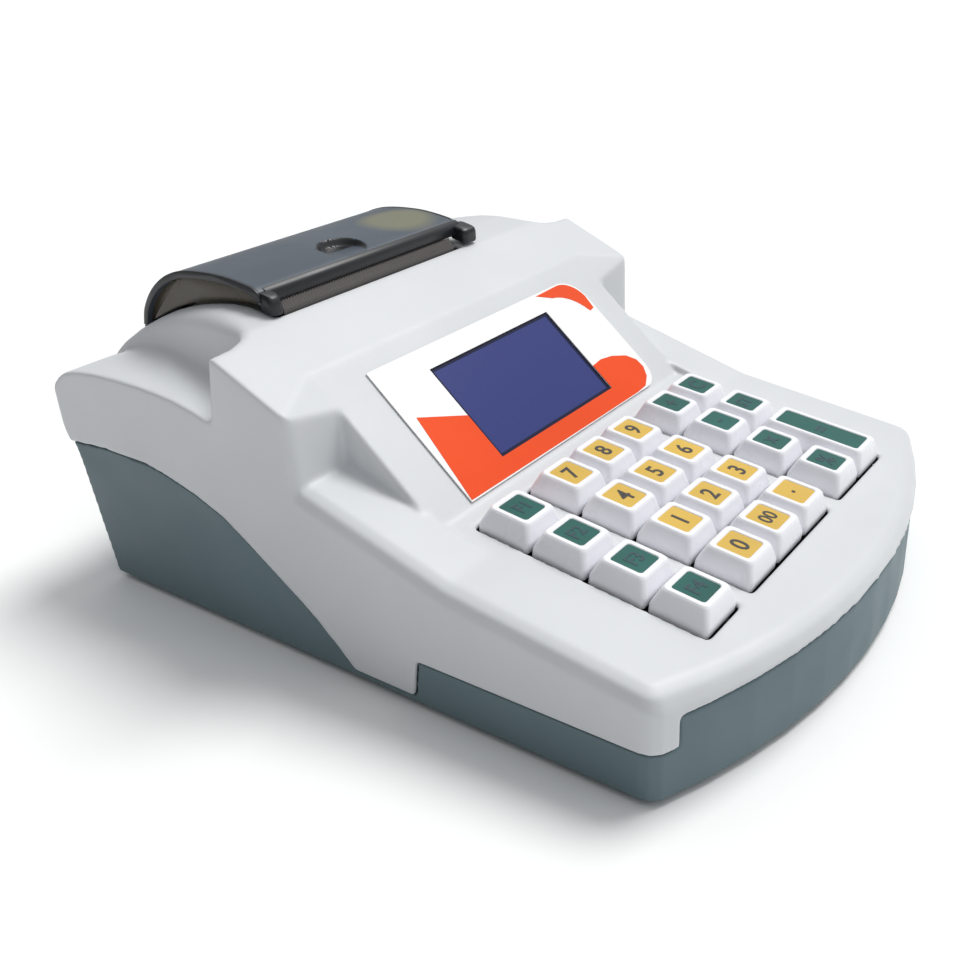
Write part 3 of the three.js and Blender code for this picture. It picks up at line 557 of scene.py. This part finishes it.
def glyph(text, size, depth):
    """The text as a centred, slightly raised mesh: its points and faces, in millimetres."""
    curve = bpy.data.curves.new("glyph", "FONT")
    curve.body = text
    curve.size = size
    curve.extrude = depth / 2
    curve.offset = size * 0.018
    curve.resolution_u = 3
    curve.align_x = "CENTER"
    curve.align_y = "CENTER"
    holder = bpy.data.objects.new("glyph", curve)
    bpy.context.scene.collection.objects.link(holder)
    bpy.context.view_layer.update()
    mesh = bpy.data.meshes.new_from_object(holder)
    verts = [tuple(v.co) for v in mesh.vertices]
    faces = [tuple(p.vertices) for p in mesh.polygons]
    bpy.data.objects.remove(holder)
    bpy.data.curves.remove(curve)
    bpy.data.meshes.remove(mesh)
    low = [min(v[i] for v in verts) for i in range(2)]
    high = [max(v[i] for v in verts) for i in range(2)]
    shift = [(low[i] + high[i]) / 2 for i in range(2)]
    return [(x - shift[0], y - shift[1], z) for x, y, z in verts], faces


def key_cap(name, x, v, extra, text, insert):
    """A white cap that narrows to a framed window over a coloured insert, hollow below, on its stem."""
    # (half width, height, corner radius), from the stem's foot to the skirt, the rim and down to the insert.
    profile = [
        (STEM_HALF, -10.0, 0.3), (STEM_HALF, 4.9, 0.3), (5.9, 4.9, 1.0), (7.7, 0.8, 1.0), (7.8, -1.5, 1.0),
        (8.9, -1.5, 1.3), (9.0, -1.2, 1.4), (9.0, 1.3, 1.5), (8.85, 1.9, 1.6), (7.35, 6.1, 1.9),
        (7.1, 6.6, 1.9), (6.7, 6.95, 1.8), (6.1, KEY_TOP, 1.6), (5.3, 6.85, 1.2), (5.1, INSERT_N, 1.0),
    ]
    rings = []
    for half, n, radius in profile:
        longer = 0 if half == STEM_HALF else extra / 2
        rings.append(rounded_ring(half, half + longer, radius, n, (x, v)))
    verts, faces = loft(rings)
    face_materials = [0] * (len(faces) - 1) + [1]
    marks, mark_faces = glyph(text, 6.4 if len(text) > 1 else 8.2, 0.12)
    first = len(verts)
    verts += [(a + x, b + v, c + INSERT_N + 0.02) for a, b, c in marks]
    faces += [tuple(i + first for i in face) for face in mark_faces]
    face_materials += [2] * len(mark_faces)
    legend = LEGEND_DARK if insert is INSERT_YELLOW else LEGEND_TEAL
    made = piece("cap_" + name, verts, faces, DECK, "key_" + name, [KEY_WHITE, insert, legend],
                 face_materials, "key_plastic", 30.0)
    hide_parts("key_" + name)


for column, (key_names, legends, insert) in enumerate(KEY_COLUMNS):
    group = (column > 0) + (column > 3)
    x = (column - 2.5) * PITCH + (group - 1) * GROUP_GAP
    for row, (key_name, text) in enumerate(zip(key_names.split(), legends.split())):
        extra = PITCH if key_name == "total" else 0
        key_cap(key_name, x, FRONT_ROW_V + (FRONT_ROW - row) * PITCH - extra / 2, extra, text, insert)


# ---------------------------------------------------------------- display label
def arc(cx, cy, r, start, end, steps=8):
    """Points on a circle, from the start angle to the end angle in degrees."""
    angles = [math.radians(start + (end - start) * i / steps) for i in range(steps + 1)]
    return [(cx + r * math.cos(a), cy + r * math.sin(a)) for a in angles]


def plate(name, outline, holes, n0, n1, material, slot):
    """A flat plate on the panel from an outline and its holes, filled and raised from n0 to n1."""
    bm = bmesh.new()
    for loop in [outline, *holes]:
        points = [bm.verts.new((p[0], p[1], n0)) for p in loop]
        for i, point in enumerate(points):
            bm.edges.new((point, points[(i + 1) % len(points)]))
    bmesh.ops.triangle_fill(bm, edges=bm.edges, use_beauty=True, use_dissolve=False)
    raised = bmesh.ops.extrude_face_region(bm, geom=bm.faces[:])
    bmesh.ops.translate(bm, verts=[g for g in raised["geom"] if isinstance(g, bmesh.types.BMVert)],
                        vec=(0, 0, n1 - n0))
    mesh = bpy.data.meshes.new(name)
    bm.to_mesh(mesh)
    bm.free()
    verts = [tuple(v.co) for v in mesh.vertices]
    faces = [tuple(p.vertices) for p in mesh.polygons]
    bpy.data.meshes.remove(mesh)
    return piece(name, verts, faces, PANEL, "case", [material], None, slot, 30.0)


WINDOW_HOLE = [(-WINDOW_HALF, 0), (WINDOW_HALF, 0), (WINDOW_HALF, WINDOW_HIGH), (-WINDOW_HALF, WINDOW_HIGH)]
LABEL_LOW, LABEL_HIGH = -6.8, 44.8
LABEL_LEFT, LABEL_RIGHT = -56.3, 59.0
FILM = (0.3, 0.7)
INK = (0.62, 0.78)
BORDER = (0.02, 0.1)
label_outline = [
    (LABEL_LEFT, LABEL_LOW),
    *arc(LABEL_RIGHT - 8, LABEL_LOW + 8, 8, -90, 0),
    *arc(LABEL_RIGHT - 10, LABEL_HIGH - 10, 10, 0, 90),
    (LABEL_LEFT, LABEL_HIGH),
]
label = plate("label_film", label_outline, [WINDOW_HOLE], *FILM, LABEL_WHITE, "display_label_film")
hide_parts("display_label")
band = [
    (-51.9, 24.8), (LABEL_LEFT + 0.3, LABEL_LOW + 0.5), (24.0, LABEL_LOW + 0.3), (44.0, LABEL_LOW + 0.3),
    (50.0, LABEL_LOW + 0.8), (54.5, -3.2), (56.8, 0.5), (56.4, 4.2), (53.0, 7.6), (46.0, 10.2), (39.5, 11.2),
    (WINDOW_HALF, 10.6), (WINDOW_HALF, 0), (-WINDOW_HALF, 0), (-WINDOW_HALF, 17.4),
]
plate("label_orange_band", band, [], *INK, LABEL_ORANGE, "display_label_film")
crescent = [
    (34.6, 43.9), *arc(LABEL_RIGHT - 10.4, LABEL_HIGH - 10.4, 9.8, 90, 8), (57.6, 30.0), (54.9, 29.5),
    *arc(39.6, 25.0, 15.6, 20, 82, 10),
]
plate("label_orange_crescent", crescent, [], *INK, LABEL_ORANGE, "display_label_film")
border_outer = rounded_ring(WINDOW_HALF - 0.1, WINDOW_HIGH / 2 - 0.1, 0.4, 0, (0, WINDOW_HIGH / 2))
border_inner = rounded_ring(WINDOW_HALF - 1.3, WINDOW_HIGH / 2 - 1.2, 0.4, 0, (0, WINDOW_HIGH / 2))
plate("display_border", border_outer, [border_inner], *BORDER, DISPLAY_BORDER, "blue_window")

# ---------------------------------------------------------------- printer cover
SKIN = 2.4
SKIN_STEPS = 150
NOTCH_AT = (-17.0, 165.2)
NOTCH_R = (7.2, 9.0)
NOTCH_DEEP = 2.6
# The cover's side view, from its front edge over the top to its hinge.
ARCH = [
    (155.4, 103.0), (155.6, 104.9), (156.9, 106.5), (161.0, 107.9), (174.0, 109.6), (190.0, 109.2),
    (201.0, 106.4), (210.0, 100.8), (216.3, 93.4), (218.6, 87.0),
]
outer = spline(ARCH, 6)


def inward(curve, d):
    """A curve moved towards its inside by d."""
    out = []
    for i, (y, z) in enumerate(curve):
        (ya, za) = curve[max(i - 1, 0)]
        (yb, zb) = curve[min(i + 1, len(curve) - 1)]
        ty, tz = yb - ya, zb - za
        size = math.hypot(ty, tz)
        out.append((y + tz / size * d, z - ty / size * d))
    return out


def stations(start, end, step, fine, fine_step):
    """Values from start to end, closer together inside the range `fine`."""
    out = [start]
    while out[-1] < end - 1e-6:
        inside = fine[0] <= out[-1] < fine[1]
        out.append(min(end, out[-1] + (fine_step if inside else step)))
    return out


def eased(value, low, high):
    """0 up to low and 1 from high on, with a smooth rise between them."""
    share = min(1.0, max(0.0, (value - low) / (high - low)))
    return share * share * (3 - 2 * share)


def notch(x, y):
    """Depth of the finger notch: a half-round scoop with a steep rear wall, fading out to the front."""
    inside = 1 - eased(math.hypot(x - NOTCH_AT[0], y - NOTCH_AT[1]), *NOTCH_R)
    return NOTCH_DEEP * inside * eased(y, 154.0, 171.0)


def along_curve(curve, share):
    """The point a given share of the way along a curve."""
    lengths = [math.dist(a, b) for a, b in zip(curve, curve[1:])]
    left = share * sum(lengths)
    for (a, b), length in zip(zip(curve, curve[1:]), lengths):
        if left <= length:
            return tuple(a[c] + (b[c] - a[c]) * left / length for c in range(2))
        left -= length
    return curve[-1]


inner = inward(outer, SKIN)
over = [along_curve(outer, i / SKIN_STEPS) for i in range(SKIN_STEPS + 1)]
under = [along_curve(inner, i / SKIN_STEPS) for i in range(SKIN_STEPS + 1)]
# The skin's two ends are rounded: at each (distance from the end, drop) its top falls by the drop.
ends = [(0.0, 0.9), (0.12, 0.5), (0.45, 0.15), (0.9, 0.0)]
skin_x = [(COVER_X[0] + a, b) for a, b in ends]
skin_x += [(x, 0.0) for x in stations(COVER_X[0] + 2.0, COVER_X[1] - 2.0, 1.6, (-26.0, -8.0), 0.4)]
skin_x += [(COVER_X[1] - a, b) for a, b in reversed(ends)]
skin_rings = []
for x, drop in skin_x:
    top = [(x, y, z - drop - notch(x, y)) for y, z in over]
    below = [(x, y, z + drop * 0.3 - notch(x, y)) for y, z in reversed(under)]
    skin_rings.append(top + below)
verts, faces = loft(skin_rings)
# Painted shade: the notch's steep wall and the deepest part of its floor take the dark edge material, where
# shade falls in the scoop.
notch_painted_shade = []
for face in faces:
    xs, ys = [verts[i][0] for i in face], [verts[i][1] for i in face]
    depths = [notch(x, y) for x, y in zip(xs, ys)]
    steep = max(depths) - min(depths) > 0.3
    notch_painted_shade.append(1 if len(face) == 4 and (steep or min(depths) > 2.2) else 0)
cover = piece("cover_skin", verts, faces, BODY, "cover", [SMOKE_TOP, SMOKE_EDGE], notch_painted_shade,
              "smoked_plastic")
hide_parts("printer_cover")


def cover_part(name, shape, material=SMOKE_EDGE):
    """A further piece of the smoked cover, from its points and faces."""
    piece(name, *shape, BODY, "cover", [material], None, "smoked_plastic")


# The end walls reach from just under the skin down to the case, whose line is the seat.
seat = spline([(156.2, 101.5), (166, 101.5), (184, 99.5), (200, 95.1), (212, 89.9), (217.6, 87.2)], 5)
end_outline = inward(outer, SKIN * 0.6)[2:-1] + list(reversed(seat))
rim = inward(outer, -0.15) + list(reversed(inward(outer, 2.3)))
END_THICK, RIM_THICK = 1.8, 1.4
for side, end_x, rim_x in (
    ("left", COVER_X[0] + 1.6, COVER_X[0] - 0.3),
    ("right", COVER_X[1] - 3.4, COVER_X[1] - 1.1),
):
    cover_part("cover_end_" + side, swept(end_outline, end_x, end_x + END_THICK, 0.3), SMOKE_END)
    cover_part("cover_rim_" + side, swept(rim, rim_x, rim_x + RIM_THICK, 0.4))

lip = [
    (155.2, 101.9), (156.6, 101.6), (157.8, 102.4), (158.2, 105.9), (157.3, 106.9), (155.9, 106.3),
    (155.0, 104.9),
]
cover_part("cover_lip", swept(lip, COVER_X[0] + 3.0, COVER_X[1] + 1.0, 0.4))

POST_SLOPE = 0.25


def post(name, x0, x1, y0, y1, levels):
    """An upright rounded block on the cover. Each level is (height, scale, step to the rear)."""
    cx, cy = (x0 + x1) / 2, (y0 + y1) / 2
    plan = rounded_ring((x1 - x0) / 2, (y1 - y0) / 2, 1.9, 0)
    rings = []
    for z, k, step in levels:
        rings.append([(cx + x * k, cy + step + y * k, z + (y * k + step) * POST_SLOPE) for x, y, _ in plan])
    cover_part(name, loft(rings))


# A thick corner at the front left, and the opening tab at the front right.
corner_levels = [
    (99.6, 0.78, 0), (99.9, 0.93, 0), (100.6, 1.0, 0), (103.2, 1.0, 0.3), (104.7, 0.94, 0.6),
    (105.4, 0.76, 0.8),
]
tab_levels = [
    (99.8, 0.8, 0), (100.1, 0.94, 0), (100.8, 1.0, 0), (103.6, 1.0, 0), (104.6, 0.94, 0), (105.1, 0.78, 0),
]
post("cover_corner", COVER_X[0] + 0.2, COVER_X[0] + 5.4, 150.2, 157.2, corner_levels)
post("cover_tab", COVER_X[1] - 3.0, COVER_X[1] + 4.6, 149.8, 157.8, tab_levels)

# The tear bar's upper edge is cut into teeth.
TEETH = 72
TOOTH_DEEP = 0.75
BAR_X = (-58.5, 27.9)
bar_rings = []
for i in range(2 * TEETH + 1):
    x = BAR_X[0] + (BAR_X[1] - BAR_X[0]) * i / (2 * TEETH)
    cut = 0.0 if i % 2 else TOOTH_DEEP
    bar_rings.append([
        (x, 152.4, 95.8), (x, 154.2, 95.8), (x, 154.85, 101.0), (x, 154.5, 102.3 - cut),
        (x, 154.1, 102.2 - cut), (x, 152.4, 99.5),
    ])
verts, faces = loft(bar_rings)
bar = piece("tear_edge", verts, faces, BODY, "case", [TEAR_BAR], None, "black_plastic", 25.0)
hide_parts("tear_bar")

lug = [
    (214.5, 93), (214.5, 90), (218.5, 82.4), (220.5, 81.9), (222.6, 82.5), (223.7, 84.5), (222.6, 86.4),
    (217.6, 90),
]
pin = [(0, 0), (1.4, 0), (1.6, 0.3), (1.6, 4.6), (0, 4.6)]
for number, (x0, x1) in enumerate(HINGE_LUGS, 1):
    cover_part(f"cover_lug_{number}", swept(lug, x0, x1, 0.4))
    lathe(pin, (x0 - 4.2, *HINGE), "x", "cover", f"cover_pin_{number}", [SMOKE_EDGE], 24, "smoked_plastic")

# ---------------------------------------------------------------- stage, light and camera
FLOOR_HALF = 40.0
SUN_FROM = (0.46, -0.15, 0.875)
BRIGHT_SIDE = (0.86, -0.5, 0.0)
AZIMUTH, ELEVATION, ROLL = (math.radians(a) for a in (-51.04, 26.12, -4.02))
CAMERA_AT = (-280.9, -101.8, 198.3)


def add(name, data):
    """A new object in the scene."""
    made = bpy.data.objects.new(name, data)
    bpy.context.scene.collection.objects.link(made)
    return made


def add_floor():
    mesh = bpy.data.meshes.new("floor")
    corners = [(sx * FLOOR_HALF, sy * FLOOR_HALF, 0.0) for sx, sy in ((-1, -1), (1, -1), (1, 1), (-1, 1))]
    mesh.from_pydata(corners, [], [(0, 1, 2, 3)])
    mesh.materials.append(moulded("floor_card", (0.915, 0.92, 0.92), 0.9, 300.0, 0.00005, 0.003))
    floor = add("floor", mesh)
    floor.location.z = cad_low.z - 0.0001


def add_sun():
    """A large soft light from above, on the right."""
    sun = bpy.data.lights.new("softbox", "SUN")
    sun.angle = math.radians(28)
    sun.energy = 2.15
    sun.color = (1.0, 0.995, 0.98)
    add("softbox", sun).rotation_euler = Vector(SUN_FROM).to_track_quat("Z", "Y").to_euler()


def set_world():
    """A grey surround that is lighter overhead, and darker on the side away from the sun."""
    world = bpy.data.worlds.new("studio")
    world.use_nodes = True
    tree = world.node_tree
    background = tree.nodes["Background"]
    towards = tree.nodes.new("ShaderNodeTexCoord").outputs["Generated"]
    direction = tree.nodes.new("ShaderNodeSeparateXYZ")
    tree.links.new(towards, direction.inputs[0])
    upwards = tree.nodes.new("ShaderNodeValToRGB")
    for element, (position, grey) in zip(upwards.color_ramp.elements, [(0.0, 0.36), (0.75, 0.78)]):
        element.position = position
        element.color = (grey * 0.97, grey * 0.985, grey, 1.0)
    tree.links.new(direction.outputs["Z"], upwards.inputs["Fac"])
    sideways = tree.nodes.new("ShaderNodeVectorMath")
    sideways.operation = "DOT_PRODUCT"
    sideways.inputs[1].default_value = BRIGHT_SIDE
    tree.links.new(towards, sideways.inputs[0])
    strength = tree.nodes.new("ShaderNodeMapRange")
    for key, value in {"From Min": -0.9, "From Max": 0.1, "To Min": 0.16, "To Max": 1.05}.items():
        strength.inputs[key].default_value = value
    tree.links.new(sideways.outputs["Value"], strength.inputs["Value"])
    tree.links.new(strength.outputs["Result"], background.inputs["Strength"])
    tree.links.new(upwards.outputs["Color"], background.inputs["Color"])
    bpy.context.scene.world = world


def add_camera():
    camera = add("camera", bpy.data.cameras.new("camera"))
    level = math.cos(ELEVATION)
    back = Vector((math.sin(AZIMUTH) * level, -math.cos(AZIMUTH) * level, math.sin(ELEVATION)))
    right = Vector((math.cos(AZIMUTH), math.sin(AZIMUTH), 0))
    up = back.cross(right)
    right_rolled = right * math.cos(ROLL) + up * math.sin(ROLL)
    up_rolled = up * math.cos(ROLL) - right * math.sin(ROLL)
    turn = Matrix((right_rolled, up_rolled, back)).transposed().to_4x4()
    camera.matrix_world = Matrix.Translation(BODY @ Vector(CAMERA_AT)) @ turn
    camera.data.sensor_width = 36.0
    camera.data.lens = 40.73
    camera.data.clip_start = 0.01
    camera.data.clip_end = 20.0
    bpy.context.scene.camera = camera


add_floor()
add_sun()
set_world()
add_camera()
bpy.context.scene.view_settings.view_transform = "Standard"
